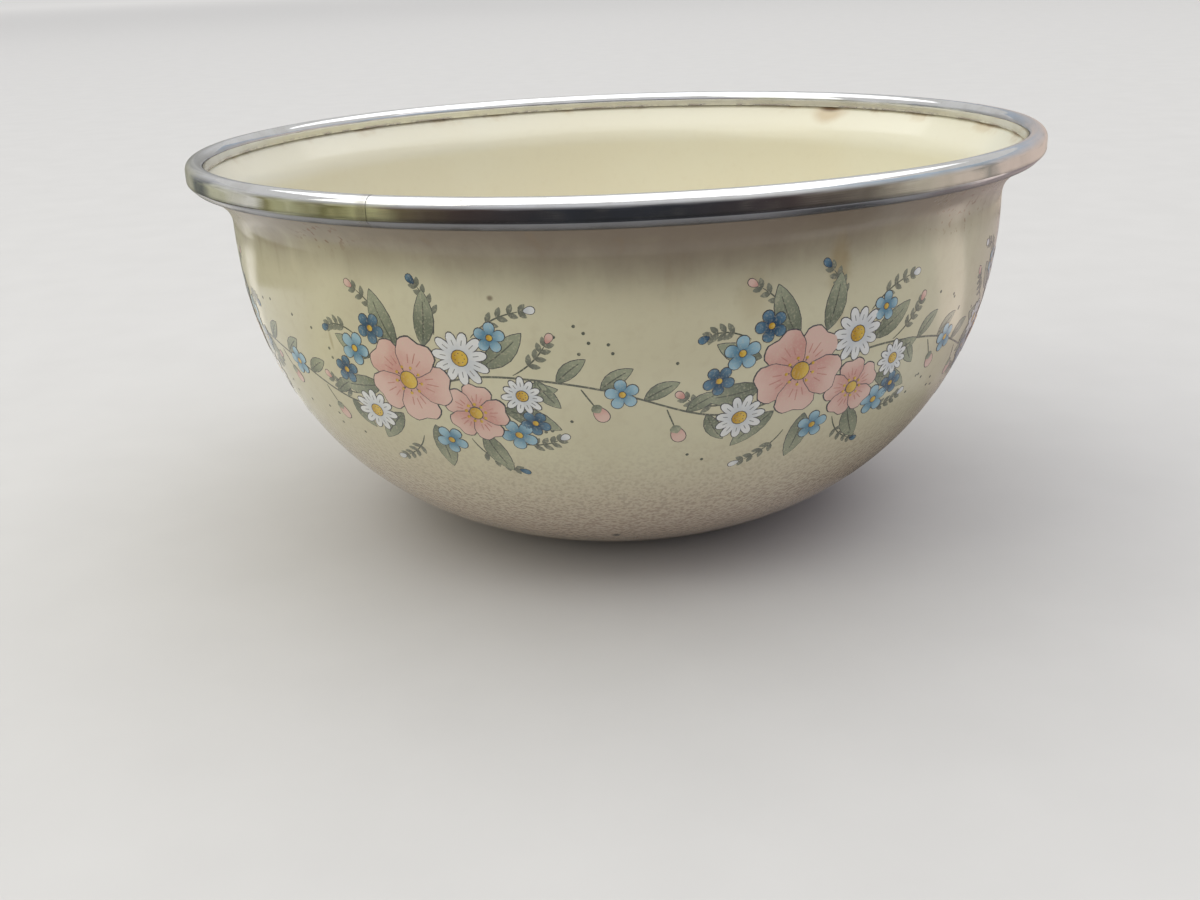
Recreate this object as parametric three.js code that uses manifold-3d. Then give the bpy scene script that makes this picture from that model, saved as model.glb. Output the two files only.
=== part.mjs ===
// Enamelled steel mixing bowl with a stainless band crimped over its flared lip.
// Millimetres, +Z up. The origin is the centre of the foot, on the table, and the front faces -Y.
import * as THREE from "three";
import { mergeVertices } from "three/addons/utils/BufferGeometryUtils.js";
import Module from "manifold-3d";

const { degToRad } = THREE.MathUtils;

// Overall sizes
const RIM_DIAMETER = 220; // over the band
const BOWL_HEIGHT = 101.2; // table to the top of the band
const FOOT_DIAMETER = 72; // outer edge of the flat ring that stands on the table

// Foot: a flat ring round a shallow recess pressed up into the base
const FOOT_RING_WIDTH = 7;
const RECESS_STEP_WIDTH = 6;
const RECESS_DEPTH = 1.2;
const FOOT_CORNER_RADIUS = 12;

// Wall: leaves the foot at the floor's slope and bends up to stand upright at the neck
const FLOOR_SLOPE = degToRad(16);
const FLOOR_REACH = 41.6; // how strongly the floor's slope carries outwards
const WALL_REACH = 40; // how strongly the upright wall carries down from the neck

// Rim: a neck that turns the wall outwards into a straight flared lip
const RIM_OVERHANG = 10; // the band's outer face past the upright wall
const NECK_RADIUS = 8;
const FLARE_SLOPE = degToRad(45);
const LIP_DROP = 1.45; // lip edge below the centre of the band's crown

// Sheet steel and the glass coats fired onto it
const STEEL_THICKNESS = 1;
const OUTER_COAT = 0.3;
const INNER_COAT = 0.3;
const BOND_GAP = 0.01; // a hair between fused faces, so that neighbouring solids never cross

// Rim band: one strip rolled over the lip, its lower edge bent along the flare and curled up under it
const BAND_SHEET = 0.5;
const BAND_WIDTH = 4.7; // inner leg to skirt, over the crown
const HEM_BEND_INSIDE = 0.4;
const HEM_RETURN = 2; // bend to curl, along the flare
const HEM_CURL_INSIDE = 0.25;
const HEM_UPSTAND = 0.45; // straight edge of the curl that grips the lip from below
const LIP_GAP = 0.5; // lip edge to the inside of the skirt
const SEAT_GAP = 0.3; // band edges to the enamel that they grip
const SEAM_GAP = 0.4; // where the two ends of the strip meet
const SEAM_AZIMUTH = degToRad(-116.8);

// Facets
const TURN_STEPS = 48;
const RECESS_STEPS = 3;
const FOOT_CORNER_STEPS = 2;
const WALL_STEPS = 8;
const NECK_STEPS = 3;
const CROWN_STEPS = 6;
const HEM_BEND_STEPS = 2;
const HEM_CURL_STEPS = 2;
const MERGE_TOLERANCE = 1e-4;

const vec = (r, z) => new THREE.Vector2(r, z);
const quarter = Math.PI / 2;

// Directions at the lip: outwards along the flare, and square to it towards the inside of the bowl.
const alongFlare = vec(Math.cos(FLARE_SLOPE), Math.sin(FLARE_SLOPE));
const overFlare = vec(-alongFlare.y, alongFlare.x);

// Depths below the bowl's outer face at which the coats and the steel begin and end
const steelOutside = OUTER_COAT + BOND_GAP;
const steelInside = steelOutside + STEEL_THICKNESS;
const innerCoatOutside = steelInside + BOND_GAP;
const wallThickness = innerCoatOutside + INNER_COAT;

// Places that the bowl and its band share
const bandRadius = RIM_DIAMETER / 2;
const crownRadius = BAND_WIDTH / 2;
const crown = vec(bandRadius - crownRadius, BOWL_HEIGHT - crownRadius);
const lip = vec(bandRadius - BAND_SHEET - LIP_GAP, crown.y - LIP_DROP);

// The height at radius r of the line parallel to the lip's outer face, moved by depth towards the inside.
function flareHeight(r, depth) {
  const start = lip.clone().addScaledVector(overFlare, depth);
  return start.y + (r - start.x) * Math.tan(FLARE_SLOPE);
}

const line = (from, to) => new THREE.LineCurve(from, to);
const curve = (from, fromHandle, toHandle, to) =>
  new THREE.CubicBezierCurve(from, fromHandle, toHandle, to);
const arc = (centre, radius, from, to) =>
  new THREE.EllipseCurve(centre.x, centre.y, radius, radius, from, to, to < from);

// Points along curves that meet end to end, each in its own number of steps, with the normal left of travel.
function trace(stretches) {
  const points = [];
  for (const [stretch, steps] of stretches) {
    for (let i = points.length ? 1 : 0; i <= steps; i++) {
      const tangent = stretch.getTangent(i / steps);
      points.push({ at: stretch.getPoint(i / steps), left: vec(-tangent.y, tangent.x) });
    }
  }
  return points;
}

// The section between two lines that run beside the traced one, at two depths to its left.
function layer(traced, fromDepth, toDepth) {
  const beside = (depth) =>
    traced.map(({ at, left }) => at.clone().addScaledVector(left, depth));
  return [...beside(fromDepth), ...beside(toDepth).reverse()];
}

// A section turned about the Z axis.
function turned(section) {
  return new THREE.LatheGeometry(section, TURN_STEPS).rotateX(quarter);
}

// The bowl's outer face in section, from the axis under the foot to the edge of the lip.
function bowlFace() {
  const footRadius = FOOT_DIAMETER / 2;
  const ringInside = footRadius - FOOT_RING_WIDTH;
  const recessEdge = ringInside - RECESS_STEP_WIDTH;
  const stepMiddle = (recessEdge + ringInside) / 2;
  const cornerCentre = vec(footRadius, FOOT_CORNER_RADIUS);
  const footCorner = arc(cornerCentre, FOOT_CORNER_RADIUS, -quarter, FLOOR_SLOPE - quarter);

  const wallRadius = bandRadius - RIM_OVERHANG;
  const neckReach = NECK_RADIUS * Math.tan((quarter - FLARE_SLOPE) / 2);
  const neckStart = vec(wallRadius, flareHeight(wallRadius, 0) - neckReach);
  const neckCentre = vec(wallRadius + NECK_RADIUS, neckStart.y);
  const neck = arc(neckCentre, NECK_RADIUS, Math.PI, quarter + FLARE_SLOPE);

  const floorStart = footCorner.getPoint(1);
  const floorDirection = vec(Math.cos(FLOOR_SLOPE), Math.sin(FLOOR_SLOPE));
  const floorHandle = floorStart.clone().addScaledVector(floorDirection, FLOOR_REACH);
  const wallHandle = vec(wallRadius, neckStart.y - WALL_REACH);

  return trace([
    [line(vec(0, RECESS_DEPTH), vec(recessEdge, RECESS_DEPTH)), 1],
    [
      curve(
        vec(recessEdge, RECESS_DEPTH),
        vec(stepMiddle, RECESS_DEPTH),
        vec(stepMiddle, 0),
        vec(ringInside, 0),
      ),
      RECESS_STEPS,
    ],
    [line(vec(ringInside, 0), vec(footRadius, 0)), 1],
    [footCorner, FOOT_CORNER_STEPS],
    [curve(floorStart, floorHandle, wallHandle, neckStart), WALL_STEPS],
    [neck, NECK_STEPS],
    [line(neck.getPoint(1), lip), 1],
  ]);
}

// The band's outer face in section: up the inner leg, over the crown, down the skirt and round the hem.
function bandFace() {
  const legRadius = bandRadius - BAND_WIDTH;
  const legSeat = flareHeight(legRadius + BAND_SHEET, wallThickness + SEAT_GAP);
  const crownArc = arc(crown, crownRadius, Math.PI, 0);

  const curlRadius = HEM_CURL_INSIDE + BAND_SHEET;
  const hemDepth = SEAT_GAP + HEM_UPSTAND + curlRadius;
  const bendRadius = HEM_BEND_INSIDE + BAND_SHEET;
  const bendTurn = quarter - FLARE_SLOPE;
  const hemCorner = vec(bandRadius, flareHeight(bandRadius, -hemDepth));
  const bendReach = bendRadius * Math.tan(bendTurn / 2);
  const bendCentre = vec(bandRadius - bendRadius, hemCorner.y + bendReach);
  const bend = arc(bendCentre, bendRadius, 0, -bendTurn);

  const curlStart = hemCorner.clone().addScaledVector(alongFlare, -HEM_RETURN);
  const curlCentre = curlStart.clone().addScaledVector(overFlare, curlRadius);
  const curl = arc(curlCentre, curlRadius, -bendTurn, -bendTurn - quarter);
  const edge = curl.getPoint(1).addScaledVector(overFlare, HEM_UPSTAND);

  return trace([
    [line(vec(legRadius, legSeat), crownArc.getPoint(0)), 1],
    [crownArc, CROWN_STEPS],
    [line(crownArc.getPoint(1), bend.getPoint(0)), 1],
    [bend, HEM_BEND_STEPS],
    [line(bend.getPoint(1), curlStart), 1],
    [curl, HEM_CURL_STEPS],
    [line(curl.getPoint(1), edge), 1],
  ]);
}

const wasm = await Module();
wasm.setup();

// A closed geometry as a solid that can be cut.
function solidOf(geometry) {
  const bare = new THREE.BufferGeometry();
  bare.setAttribute("position", geometry.getAttribute("position"));
  bare.setIndex(geometry.index);
  const merged = mergeVertices(bare, MERGE_TOLERANCE);
  const vertProperties = merged.getAttribute("position").array;
  const triVerts = new Uint32Array(merged.index.array);
  return new wasm.Manifold(new wasm.Mesh({ numProp: 3, vertProperties, triVerts }));
}

function geometryOf(solid) {
  const { vertProperties, triVerts } = solid.getMesh();
  const geometry = new THREE.BufferGeometry();
  geometry.setAttribute("position", new THREE.BufferAttribute(vertProperties, 3));
  geometry.setIndex(new THREE.BufferAttribute(triVerts, 1));
  geometry.computeVertexNormals();
  return geometry;
}

// The slot left between the ends of the strip: a thin slice that runs outwards from the axis.
function seamSlot() {
  const slice = new THREE.BoxGeometry(RIM_DIAMETER, SEAM_GAP, 2 * BOWL_HEIGHT);
  slice.translate(RIM_DIAMETER / 2, 0, BOWL_HEIGHT);
  return slice.rotateZ(SEAM_AZIMUTH);
}

function bandGeometry() {
  const section = layer(bandFace(), -BAND_SHEET, 0);
  const ring = turned([...section, section[0]]);
  return geometryOf(solidOf(ring).subtract(solidOf(seamSlot())));
}

const sheetSteel = new THREE.MeshStandardMaterial({ color: 0x6d6e70, roughness: 0.6, metalness: 1 });
const ivoryEnamel = new THREE.MeshStandardMaterial({ color: 0xd8cba8, roughness: 0.22, metalness: 0 });
const creamEnamel = new THREE.MeshStandardMaterial({ color: 0xebe1ba, roughness: 0.18, metalness: 0 });
const stainless = new THREE.MeshStandardMaterial({ color: 0xc9ccd0, roughness: 0.14, metalness: 1 });

const bowl = new THREE.Group();

function addPiece(name, geometry, material) {
  const piece = new THREE.Mesh(geometry, material);
  piece.name = name;
  bowl.add(piece);
}

const face = bowlFace();
addPiece("outer_enamel", turned(layer(face, 0, OUTER_COAT)), ivoryEnamel);
addPiece("steel_shell", turned(layer(face, steelOutside, steelInside)), sheetSteel);
addPiece("inner_enamel", turned(layer(face, innerCoatOutside, wallThickness)), creamEnamel);
addPiece("rim_band", bandGeometry(), stainless);

export default bowl;
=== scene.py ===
# %% [markdown]
# # An enamel mixing bowl with a stainless rim
#
# The real bowl is one pressing of sheet steel with glass fired onto both sides, a transfer print fired into
# the outer glass, and a strip of stainless steel rolled over the lip. A imported CAD model already fixes
# every size. This lesson lays finer surfaces over it, one for each CAD piece, and gives each its own
# finish.

# %% Load the imported bowl
import math

import bpy
import numpy as np
from mathutils import Matrix, Vector


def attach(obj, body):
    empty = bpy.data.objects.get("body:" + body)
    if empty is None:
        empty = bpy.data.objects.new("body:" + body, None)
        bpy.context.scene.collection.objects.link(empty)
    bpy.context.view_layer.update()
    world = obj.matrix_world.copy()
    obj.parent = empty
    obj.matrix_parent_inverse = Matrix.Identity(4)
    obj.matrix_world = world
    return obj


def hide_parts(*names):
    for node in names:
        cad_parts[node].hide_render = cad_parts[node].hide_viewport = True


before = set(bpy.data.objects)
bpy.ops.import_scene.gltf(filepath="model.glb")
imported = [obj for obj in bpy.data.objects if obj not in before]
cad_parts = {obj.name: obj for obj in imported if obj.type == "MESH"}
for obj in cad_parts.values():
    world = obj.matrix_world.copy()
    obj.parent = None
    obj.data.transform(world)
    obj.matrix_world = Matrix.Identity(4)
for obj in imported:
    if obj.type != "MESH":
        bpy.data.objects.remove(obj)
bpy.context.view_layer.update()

# %% [markdown]
# ## Points and faces into a mesh
#
# Every piece below is worked out as whole numpy arrays: points in metres, and rows of corner numbers for
# the faces. A loop over vertices in Python would be slow, so foreach_set hands each array to Blender in one
# go. The piece keeps its place in its points, and its object stays at the origin, as the CAD nodes do.

# %% Arrays into a piece of the bowl
STUDIO = bpy.context.scene
CREASE = math.radians(35.0)


def placed(name, data):
    """A new object for a mesh, a light or a camera, linked into the scene."""
    made = bpy.data.objects.new(name, data)
    STUDIO.collection.objects.link(made)
    return made


def bowl_piece(name, points, faces, slot, uv=None, shade=None):
    """A smooth mesh from (n, 3) points and arrays of 3 or 4 corners; edges over CREASE stay hard."""
    corners = np.concatenate([part.ravel() for part in faces])
    sizes = np.concatenate([np.full(len(part), part.shape[1]) for part in faces])
    mesh = bpy.data.meshes.new(name)
    mesh.vertices.add(len(points))
    mesh.vertices.foreach_set("co", points.astype(np.float32).ravel())
    mesh.loops.add(len(corners))
    mesh.loops.foreach_set("vertex_index", corners.astype(np.int32))
    mesh.polygons.add(len(sizes))
    mesh.polygons.foreach_set("loop_start", (np.cumsum(sizes) - sizes).astype(np.int32))
    mesh.update(calc_edges=True)
    mesh.polygons.foreach_set("use_smooth", np.ones(len(sizes), dtype=bool))
    mesh.set_sharp_from_angle(angle=CREASE)
    if uv is not None:
        layer = mesh.uv_layers.new(name="surface")
        layer.data.foreach_set("uv", uv[corners].astype(np.float32).ravel())
    if shade is not None:
        values = mesh.attributes.new("shade", "FLOAT", "POINT")
        values.data.foreach_set("value", shade.astype(np.float32))
    piece = placed(name, mesh)
    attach(piece, "root")
    print(f"{name}: {len(points)} points, {int((sizes - 2).sum())} triangles, faulty {mesh.validate()}")
    return piece


# %% [markdown]
# ## The line of the bowl
#
# A pressed bowl is a body of revolution, so one line from the axis to the lip says everything about its
# shape. The line is the outer face: a shallow recess, the flat ring of the foot, a long easy curve up the
# wall, a neck that turns outwards, and a straight flared lip. Each stretch is a formula in millimetres,
# radius first and height second, and the stretches meet in the same direction, so the spun wall shows no
# kink. The numbers repeat the CAD model's.


# %% Stretches of a line
def columns(*parts):
    """Arrays spread to a common shape and set side by side along a new last axis."""
    return np.stack(np.broadcast_arrays(*parts), axis=-1)


def way_of(turn):
    """The unit vector of a turn: (cos, sin)."""
    return columns(np.cos(turn), np.sin(turn))


def left_of(way):
    """A direction turned to its left by a quarter: (-y, x)."""
    return columns(-way[..., 1], way[..., 0])


def straight(start, end, steps):
    """Points of a straight stretch: (1-t) start + t end, with t from 0 to 1."""
    t = np.linspace(0.0, 1.0, steps + 1)[:, None]
    return np.asarray(start) * (1 - t) + np.asarray(end) * t


def eased(a, b, c, d, steps):
    """Points of a cubic curve: (1-t)^3 a + 3 t (1-t)^2 b + 3 t^2 (1-t) c + t^3 d, with t from 0 to 1."""
    t = np.linspace(0.0, 1.0, steps + 1)[:, None]
    a, b, c, d = map(np.asarray, (a, b, c, d))
    return (1 - t) ** 3 * a + 3 * t * (1 - t) ** 2 * b + 3 * t**2 * (1 - t) * c + t**3 * d


def arc(centre, radius, start, end, steps):
    """Points of an arc: centre + radius (cos v, sin v), with the angle v from start to end in degrees."""
    return np.asarray(centre) + radius * way_of(np.radians(np.linspace(start, end, steps + 1)))


def chain(*stretches):
    """Stretches that meet end to end as one line, with each shared point kept once."""
    return np.concatenate([stretches[0]] + [stretch[1:] for stretch in stretches[1:]])


def left_normals(line):
    """Unit normals to the left of travel: the mean direction at each point, turned by a quarter."""
    step = np.diff(line, axis=0)
    step /= np.linalg.norm(step, axis=1, keepdims=True)
    along = np.concatenate([step[:1], step[:-1] + step[1:], step[-1:]])
    return left_of(along / np.linalg.norm(along, axis=1, keepdims=True))


def way_gone(line):
    """The way from the first point of a line to each of its points, as a running sum of the steps."""
    return np.concatenate([[0.0], np.cumsum(np.linalg.norm(np.diff(line, axis=0), axis=1))])


# %% The lip and the neck
RIM_RADIUS = 110.0
BOWL_HEIGHT = 101.2
CROWN_RADIUS = 2.35
LIP_INSET = 1.0
LIP_DROP = 1.45
FLARE_SLOPE = 45.0
NECK_RADIUS = 8.0
RIM_OVERHANG = 10.0

crown = np.array([RIM_RADIUS - CROWN_RADIUS, BOWL_HEIGHT - CROWN_RADIUS])
lip = np.array([RIM_RADIUS - LIP_INSET, crown[1] - LIP_DROP])
flare = way_of(math.radians(FLARE_SLOPE))
over = left_of(flare)
half_bend = math.tan(math.radians((90.0 - FLARE_SLOPE) / 2))


def flare_height(radius, depth):
    """The height of the flared lip's outer face at a radius, moved by a depth towards the inside."""
    start = lip + depth * over
    return start[1] + (radius - start[0]) * flare[1] / flare[0]


wall_radius = RIM_RADIUS - RIM_OVERHANG
neck_height = flare_height(wall_radius, 0.0) - NECK_RADIUS * half_bend
neck = arc((wall_radius + NECK_RADIUS, neck_height), NECK_RADIUS, 180, 90 + FLARE_SLOPE, 10)
print("neck at", neck[0].round(2), "lip at", lip.round(2))

# %% The whole outer face, from the recess up
FOOT_RADIUS = 36.0
FOOT_CORNER = 12.0
RING_INSIDE = 29.0
RECESS_EDGE = 23.0
RECESS_DEPTH = 1.2
FLOOR_SLOPE = 16.0
FLOOR_REACH = 41.6
WALL_REACH = 40.0

step_middle = (RECESS_EDGE + RING_INSIDE) / 2
recess_edge = (RECESS_EDGE, RECESS_DEPTH)
ring_inside = (RING_INSIDE, 0.0)
foot_corner = arc((FOOT_RADIUS, FOOT_CORNER), FOOT_CORNER, -90, FLOOR_SLOPE - 90, 6)
floor_handle = foot_corner[-1] + FLOOR_REACH * way_of(math.radians(FLOOR_SLOPE))
wall_handle = (wall_radius, neck_height - WALL_REACH)
bowl_line = chain(
    straight((0.0, RECESS_DEPTH), recess_edge, 4),
    eased(recess_edge, (step_middle, RECESS_DEPTH), (step_middle, 0.0), ring_inside, 10),
    straight(ring_inside, (FOOT_RADIUS, 0.0), 3),
    foot_corner,
    eased(foot_corner[-1], floor_handle, wall_handle, neck[0], 64),
    neck,
    straight(neck[-1], lip, 4),
)
print("bowl line:", len(bowl_line), "points")

# %% [markdown]
# ## Steel and glass
#
# The steel is 1 mm thick and each coat of enamel 0.3 mm, with a hair of clearance where they are fused. A
# Screw modifier could spin the line, but working the grid out gives closed poles and faces that all point
# outwards. A coat is the space between the line moved inwards by two depths, spun about the axis.

# %% Rings, fans and a coat
MM = 0.001


def around(radius, angle, height):
    """Points (r cos v, r sin v, z) in metres, from radii and heights in millimetres."""
    return columns(radius * np.cos(angle), radius * np.sin(angle), height) * MM


def faces_of(*corners):
    """Rows of corner numbers, from one array of numbers for each corner of the faces."""
    return columns(*corners).reshape(-1, len(corners))


def closed_tube(here, first_pole, last_pole):
    """Quads between neighbour rings of corner numbers, and a fan of triangles to a pole at each end."""
    ahead = np.roll(here, -1, axis=1)
    wall = faces_of(here[:-1], ahead[:-1], ahead[1:], here[1:])
    return [wall, faces_of(first_pole, ahead[0], here[0]), faces_of(last_pole, here[-1], ahead[-1])]


def coat(start_depth, end_depth, turns):
    """The section between the bowl's line moved inwards by two depths along its normals, spun about Z:
    point (i, j) = section point i at the angle 2 pi j / turns, and the section's two ends are poles."""
    normals = left_normals(bowl_line)
    section = np.concatenate([bowl_line + start_depth * normals, (bowl_line + end_depth * normals)[::-1]])
    angle = np.linspace(0.0, 2.0 * np.pi, turns, endpoint=False)
    rings = around(section[1:-1, 0, None], angle, section[1:-1, 1, None]).reshape(-1, 3)
    poles = around(0.0, 0.0, section[[0, -1], 1])
    here = np.arange(len(rings)).reshape(-1, turns)
    return np.concatenate([rings, poles]), closed_tube(here, len(rings), len(rings) + 1)


# %% Two coats and the pressing
COAT = 0.3
STEEL = 1.0
BOND_GAP = 0.01
GLASS_TURNS = 288
STEEL_TURNS = 144

steel_outside = COAT + BOND_GAP
steel_inside = steel_outside + STEEL
glass_inside = steel_inside + BOND_GAP
wall_depth = glass_inside + COAT
outer_coat = bowl_piece("outer_enamel_coat", *coat(0.0, COAT, GLASS_TURNS), "ivory_enamel")
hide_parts("outer_enamel")
steel = bowl_piece("steel_pressing", *coat(steel_outside, steel_inside, STEEL_TURNS), "sheet_steel")
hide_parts("steel_shell")
inner_coat = bowl_piece("inner_enamel_coat", *coat(glass_inside, wall_depth, GLASS_TURNS), "cream_enamel")
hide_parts("inner_enamel")

# %% [markdown]
# ## The rim strip
#
# On the real bowl a machine rolls a flat stainless strip over the lip: an inner leg, a round crown, an
# upright skirt, and a hem that is bent along the flare and curled up to grip it. The two ends of the strip
# meet in a butt seam. So the section is a strip of even thickness, carried along a circle that stops just
# short of closing. Rolling leaves the strip slightly wavy and lifts its ends by a few hundredths of a
# millimetre, which makes the highlights on the polished metal wander as they do on the real thing.

# %% The section of the strip
SHEET = 0.5
SEAT_GAP = 0.3
HEM_DEPTH = 1.5
HEM_BEND = 0.9
HEM_RETURN = 2.0
HEM_CURL = 0.75
HEM_UPSTAND = 0.45

leg_radius = RIM_RADIUS - 2 * CROWN_RADIUS
leg_foot = np.array([leg_radius, flare_height(leg_radius + SHEET, wall_depth + SEAT_GAP)])
hem_corner = np.array([RIM_RADIUS, flare_height(RIM_RADIUS, -HEM_DEPTH)])
bend_centre = (RIM_RADIUS - HEM_BEND, hem_corner[1] + HEM_BEND * half_bend)
hem_turn = FLARE_SLOPE - 90
hem_bend = arc(bend_centre, HEM_BEND, 0, hem_turn, 6)
curl_start = hem_corner - HEM_RETURN * flare
hem_curl = arc(curl_start + HEM_CURL * over, HEM_CURL, hem_turn, hem_turn - 90, 8)
strip_line = chain(
    straight(leg_foot, (leg_radius, crown[1]), 3),
    arc(crown, CROWN_RADIUS, 180, 0, 24),
    straight((RIM_RADIUS, crown[1]), hem_bend[0], 4),
    hem_bend,
    straight(hem_bend[-1], curl_start, 3),
    hem_curl,
    straight(hem_curl[-1], hem_curl[-1] + HEM_UPSTAND * over, 2),
)
strip_back = strip_line - SHEET * left_normals(strip_line)
strip_reach = way_gone(strip_line)
print("strip cut from sheet", round(float(strip_reach[-1]), 2), "mm wide")

# %% The strip carried round the rim
SEAM = math.radians(-116.8)
SEAM_HALF = 0.035 / RIM_RADIUS
END_LENGTH = 4.0
END_LIFT = 0.07
STRIP_INSET = 0.07
STRIP_TURNS = 481


def rolled_strip():
    """Point (i, j) = section point i at angle v_j, from one side of the seam to the other.
    Radius and height wander by small sines of v, kept inside the CAD box by a small inset, and the two ends
    part by exp(-(way from the seam / END_LENGTH)^2)."""
    angle = np.linspace(SEAM + SEAM_HALF, SEAM + 2 * np.pi - SEAM_HALF, STRIP_TURNS)
    from_seam = RIM_RADIUS * np.minimum(angle - SEAM, SEAM + 2 * np.pi - angle)
    lift = END_LIFT * np.exp(-((from_seam / END_LENGTH) ** 2)) * np.sign(angle - SEAM - np.pi)
    sway = 0.03 * np.sin(3 * angle + 1.0) + 0.02 * np.sin(8 * angle + 0.4) + 0.012 * np.sin(23 * angle)
    sink = 0.02 * np.sin(5 * angle + 2.0) + 0.012 * np.sin(17 * angle + 1.3) - 0.032
    loop = np.concatenate([strip_line, strip_back[::-1]])
    radius = loop[:, 0, None] + sway - STRIP_INSET + 0.5 * lift
    points = around(radius, angle, loop[:, 1, None] + sink + 0.3 * lift)
    here = np.arange(len(loop) * STRIP_TURNS).reshape(-1, STRIP_TURNS)
    beyond = np.roll(here, -1, axis=0)
    skin = faces_of(here[:, :-1], beyond[:, :-1], beyond[:, 1:], here[:, 1:])
    front, back = here[: len(strip_line)], here[len(strip_line) :][::-1]
    across = (front[:-1], front[1:], back[1:], back[:-1])
    first_end = faces_of(*(corner[:, 0] for corner in reversed(across)))
    last_end = faces_of(*(corner[:, -1] for corner in across))
    reach = np.concatenate([strip_reach, strip_reach[::-1]])[:, None]
    uv = columns(angle * RIM_RADIUS, reach) * MM
    return points.reshape(-1, 3), [skin, first_end, last_end], uv.reshape(-1, 2)


strip_points, strip_faces, strip_uv = rolled_strip()
rim_strip = bowl_piece("rim_strip", strip_points, strip_faces, "stainless_band", uv=strip_uv)
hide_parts("rim_band")

# %% [markdown]
# ## Laying ink on the wall
#
# The decoration is a transfer: flat shapes of coloured glass, fired into the surface. A picture texture
# would need a file, and a pattern made only of noise has no crisp line, so each petal, leaf and stem is a
# thin patch of its own. A patch is drawn flat in millimetres, then wrapped: across becomes an angle round
# the bowl, and up becomes a way along the bowl's line. Its edge dips under the enamel, so it is a closed
# skin with no gap beneath it, and later inks stand about a hundredth of a millimetre higher, as a printer
# lays one colour over another.

# %% From flat millimetres to the wall
PRINT_HEIGHT = 57.0
WALL_START = 20

line_reach = way_gone(bowl_line)
print_reach = np.interp(PRINT_HEIGHT, bowl_line[WALL_START:, 1], line_reach[WALL_START:])
line_columns = np.concatenate([bowl_line, -left_normals(bowl_line)], axis=1).T


def along_line(up):
    """The radius and height of the bowl's line and its outward normal, a way up from the print's middle."""
    return [np.interp(print_reach + up, line_reach, column) for column in line_columns]


def on_wall(site, x, y, proud):
    """Wraps flat (x, y) about a site (angle, way up): angle + x / radius, way up + y, proud of the wall."""
    radius, height, out, rise = along_line(site[..., 1] + y)
    return around(radius + proud * out, site[..., 0] + x / radius, height + proud * rise)


print("print middle line: radius", round(float(along_line(0.0)[0]), 2), "mm")

# %% [markdown]
# Two kinds of mark are enough for the whole print: a patch with a closed edge, for petals, leaves, hearts
# and dots, and a thin line that tapers at both ends, for stems and veins. Both are written for many marks
# at once. The random numbers come from a fixed seed, so every run draws the same bowl.

# %% A batch of marks
draw = np.random.default_rng(11)
inks = {}


def lay(ink, points, faces, uv, shade=None):
    """Puts (count, size, 3) points of marks aside, with the faces and UV of one mark for all of them and a
    random shade for each; the marks of one ink become one mesh later."""
    count, size = points.shape[:2]
    first = size * np.arange(count)[:, None, None]
    faces = [(rows + first).reshape(-1, rows.shape[1]) for rows in faces]
    shade = np.repeat(draw.random(count) if shade is None else shade, size)
    inks.setdefault(ink, []).append((points.reshape(-1, 3), faces, np.tile(uv, (count, 1)), shade))


# %% A patch of ink
SUNK = -0.05
PATCH_MIDDLE = 0.55


def ink_patch(ink, edge, site, at, turn, length, width, proud, bend=0.0, rings=(0.5, 0.97), sides=18):
    """Patches with the unit edge (a, c) = edge(t): point (ring, t) = middle + ring (edge(t) - middle).
    Laid flat as x = a length, y = c width / 2 + bend a (1 - a), turned, moved to `at` and wrapped."""
    site, at = np.broadcast_arrays(np.atleast_2d(site), np.atleast_2d(at))
    for_each = (np.broadcast_to(value, len(site))[:, None] for value in (turn, length, width, proud, bend))
    turn, length, width, proud, bend = for_each
    edge_a, edge_c = edge(np.linspace(0.0, 2.0 * np.pi, sides, endpoint=False))
    ring = np.append(rings, 1.0)[:, None]
    grid_a = PATCH_MIDDLE + ring * (edge_a - PATCH_MIDDLE)
    a = np.concatenate([[PATCH_MIDDLE], grid_a.ravel(), [PATCH_MIDDLE]])
    c = np.concatenate([[0.0], (ring * edge_c).ravel(), [0.0]])
    flat_x, flat_y = a * length, c * width / 2 + bend * a * (1 - a)
    x = at[:, :1] + flat_x * np.cos(turn) - flat_y * np.sin(turn)
    y = at[:, 1:] + flat_x * np.sin(turn) + flat_y * np.cos(turn)
    on_top = np.arange(len(a)) < len(a) - sides - 1
    points = on_wall(site[:, None], x, y, np.where(on_top, proud, SUNK))
    here = 1 + np.arange(grid_a.size).reshape(-1, sides)
    ahead = np.roll(here, -1, axis=1)
    cap = faces_of(0, here[0], ahead[0])
    band = faces_of(here[:-1], here[1:], ahead[1:], ahead[:-1])
    under = faces_of(len(a) - 1, ahead[-1], here[-1])
    lay(ink, points, (cap, band, under), columns(a, c))


# %% A line of ink
FOUR_ACROSS = np.array([1.0, 1.0, -1.0, -1.0])


def bow(start, middle, end, t):
    """A bowed line and its direction at t: (1-t)^2 start + 2 t (1-t) middle + t^2 end, and
    2 (1-t) (middle - start) + 2 t (end - middle)."""
    path = start * (1 - t) ** 2 + 2 * t * (1 - t) * middle + t**2 * end
    return path, 2 * (1 - t) * (middle - start) + 2 * t * (end - middle)


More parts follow.
